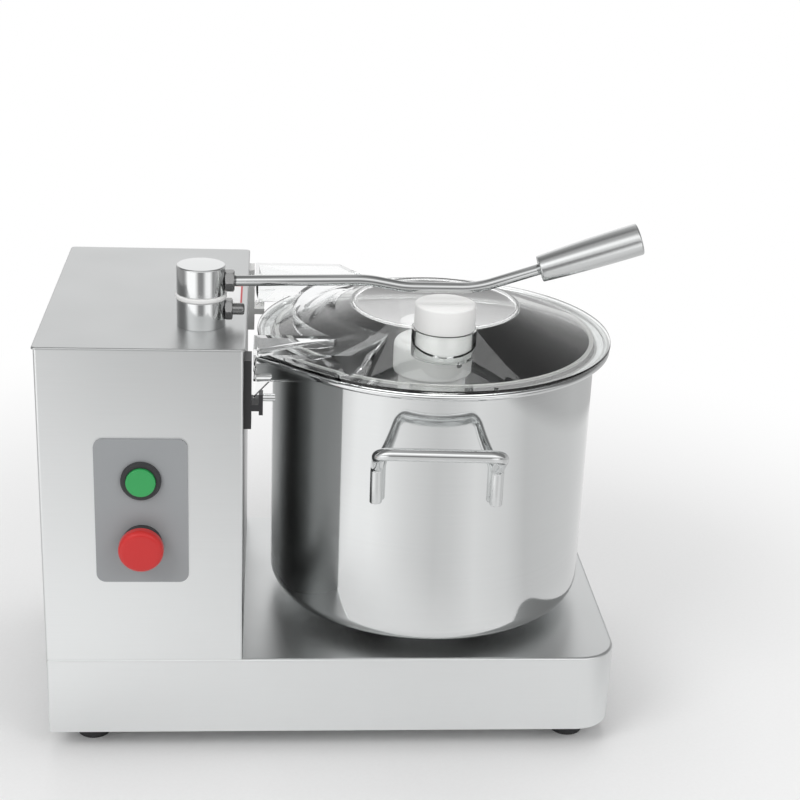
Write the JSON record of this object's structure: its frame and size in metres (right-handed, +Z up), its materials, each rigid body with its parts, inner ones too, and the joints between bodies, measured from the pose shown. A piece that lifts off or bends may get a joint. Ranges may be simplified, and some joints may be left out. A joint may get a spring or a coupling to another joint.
{
  "type": "meat bowl cutter",
  "caption": "Tabletop bowl cutter: drive column and base in sheet steel, deep round bowl with bar handles, clear domed lid with feed plug, and a swing lever over the lid.",
  "frame": {"origin": "centre of the whole machine's bounding box, on the floor under its feet", "axes": "+Z up, -Y the front with the controls and the lever, +X from the drive column to the bowl"},
  "size_m": [0.5088, 0.3743, 0.4755],
  "materials": {
    "brushed_stainless": "brushed stainless steel sheet",
    "bowl_stainless": "bright polished stainless steel",
    "turned_steel": "fine turned bright steel",
    "blade_steel": "ground blade steel",
    "clear_lid": "clear moulded polycarbonate",
    "white_plastic": "white food-safe acetal",
    "black_steel": "black coated steel",
    "grip_aluminium": "satin anodised aluminium",
    "rubber": "moulded rubber",
    "seal": "translucent silicone rubber",
    "cast_aluminium": "cast aluminium",
    "motor_paint": "grey painted cast aluminium",
    "black_plastic": "black moulded plastic",
    "green_plastic": "green moulded plastic",
    "red_plastic": "red moulded plastic",
    "steel": "machined steel",
    "panel": "dark grey panel plate"
  },
  "bodies": {
    "machine": {"base_shell": "brushed_stainless", "bottom_plate": "brushed_stainless", "column_shell": "brushed_stainless", "top_cover": "brushed_stainless", "rear_panel": "brushed_stainless", "rear_panel_screws": "turned_steel", "feet": "rubber", "foot_screws": "steel", "control_panel": "panel", "button_bezels": "turned_steel", "contact_blocks": "black_plastic", "control_box": "black_plastic", "run_capacitor": "white_plastic", "cable_gland": "black_plastic", "interlock_switch": "black_plastic", "motor_plate": "steel", "motor_bolts": "steel", "motor_housing": "motor_paint", "terminal_box": "black_plastic", "fan_cowl": "black_plastic", "spindle_housing": "cast_aluminium", "spindle_bearings": "steel", "housing_bolts": "steel", "drive_belt": "rubber", "bowl_seat": "cast_aluminium", "seat_screws": "steel", "seat_pins": "steel", "post_base": "turned_steel", "post_washer": "white_plastic", "pivot_bolt": "steel", "stop_stub": "turned_steel", "stub_nut": "turned_steel", "front_lid_bracket": "black_steel", "rear_lid_bracket": "black_steel", "bracket_pins": "turned_steel", "bracket_screws": "black_steel"},
    "rotor": {"spindle": "steel", "spindle_pulley": "cast_aluminium", "blade_hub": "white_plastic", "lower_blade": "blade_steel", "upper_blade": "blade_steel", "blade_knob": "white_plastic", "knob_set_screw": "steel"},
    "motor_rotor": {"motor_shaft": "steel", "motor_pulley": "cast_aluminium", "cooling_fan": "black_plastic"},
    "bowl": {"bowl": "bowl_stainless", "bowl_foot_ring": "bowl_stainless", "front_handle": "bowl_stainless", "rear_handle": "bowl_stainless"},
    "lid": {"lid": "clear_lid", "lid_yoke": "clear_lid", "lid_seal": "seal"},
    "plug": {"feed_plug": "white_plastic"},
    "lever": {"lever_head": "turned_steel", "lever_rod": "turned_steel", "lever_lock_nut": "turned_steel", "lever_grip": "grip_aluminium"},
    "start_button": {"start_button": "green_plastic"},
    "stop_button": {"stop_button": "red_plastic"}
  },
  "joints": [
    {"name": "spindle_spin", "type": "hinge", "parent": "machine", "child": "rotor", "pos_m": [0.08657, 0, 0.093], "axis": [0, 0, 1], "continuous": true},
    {"name": "motor_spin", "type": "hinge", "parent": "machine", "child": "motor_rotor", "pos_m": [-0.16893, 0, 0.093], "axis": [0, 0, 1], "continuous": true},
    {"name": "bowl_twist", "type": "hinge", "parent": "machine", "child": "bowl", "pos_m": [0.08657, 0, 0.105], "axis": [0, 0, 1], "range_deg": [0, 24]},
    {"name": "lever_swing", "type": "hinge", "parent": "machine", "child": "lever", "pos_m": [-0.12093, -0.083, 0.4099], "axis": [0, 0, 1], "range_deg": [-140, 0]},
    {"name": "lid_lift", "type": "slide", "parent": "machine", "child": "lid", "axis": [0, 0, 1], "range_m": [0, 0.054]},
    {"name": "plug_lift", "type": "slide", "parent": "lid", "child": "plug", "axis": [0, 0, 1], "range_m": [0, 0.0442]},
    {"name": "start_press", "type": "slide", "parent": "machine", "child": "start_button", "axis": [0, 1, 0], "range_m": [0, 0.0035], "stiffness_N_per_m": 300},
    {"name": "stop_press", "type": "slide", "parent": "machine", "child": "stop_button", "axis": [0, 1, 0], "range_m": [0, 0.0035], "stiffness_N_per_m": 300}
  ],
  "couplings": [
    {"joint": "motor_spin", "follows": "spindle_spin", "ratio": 2},
    {"joint": "lid_lift", "follows": "lever_swing", "m_per_rad": -0.022},
    {"joint": "plug_lift", "follows": "lever_swing", "m_per_rad": -0.018}
  ]
}
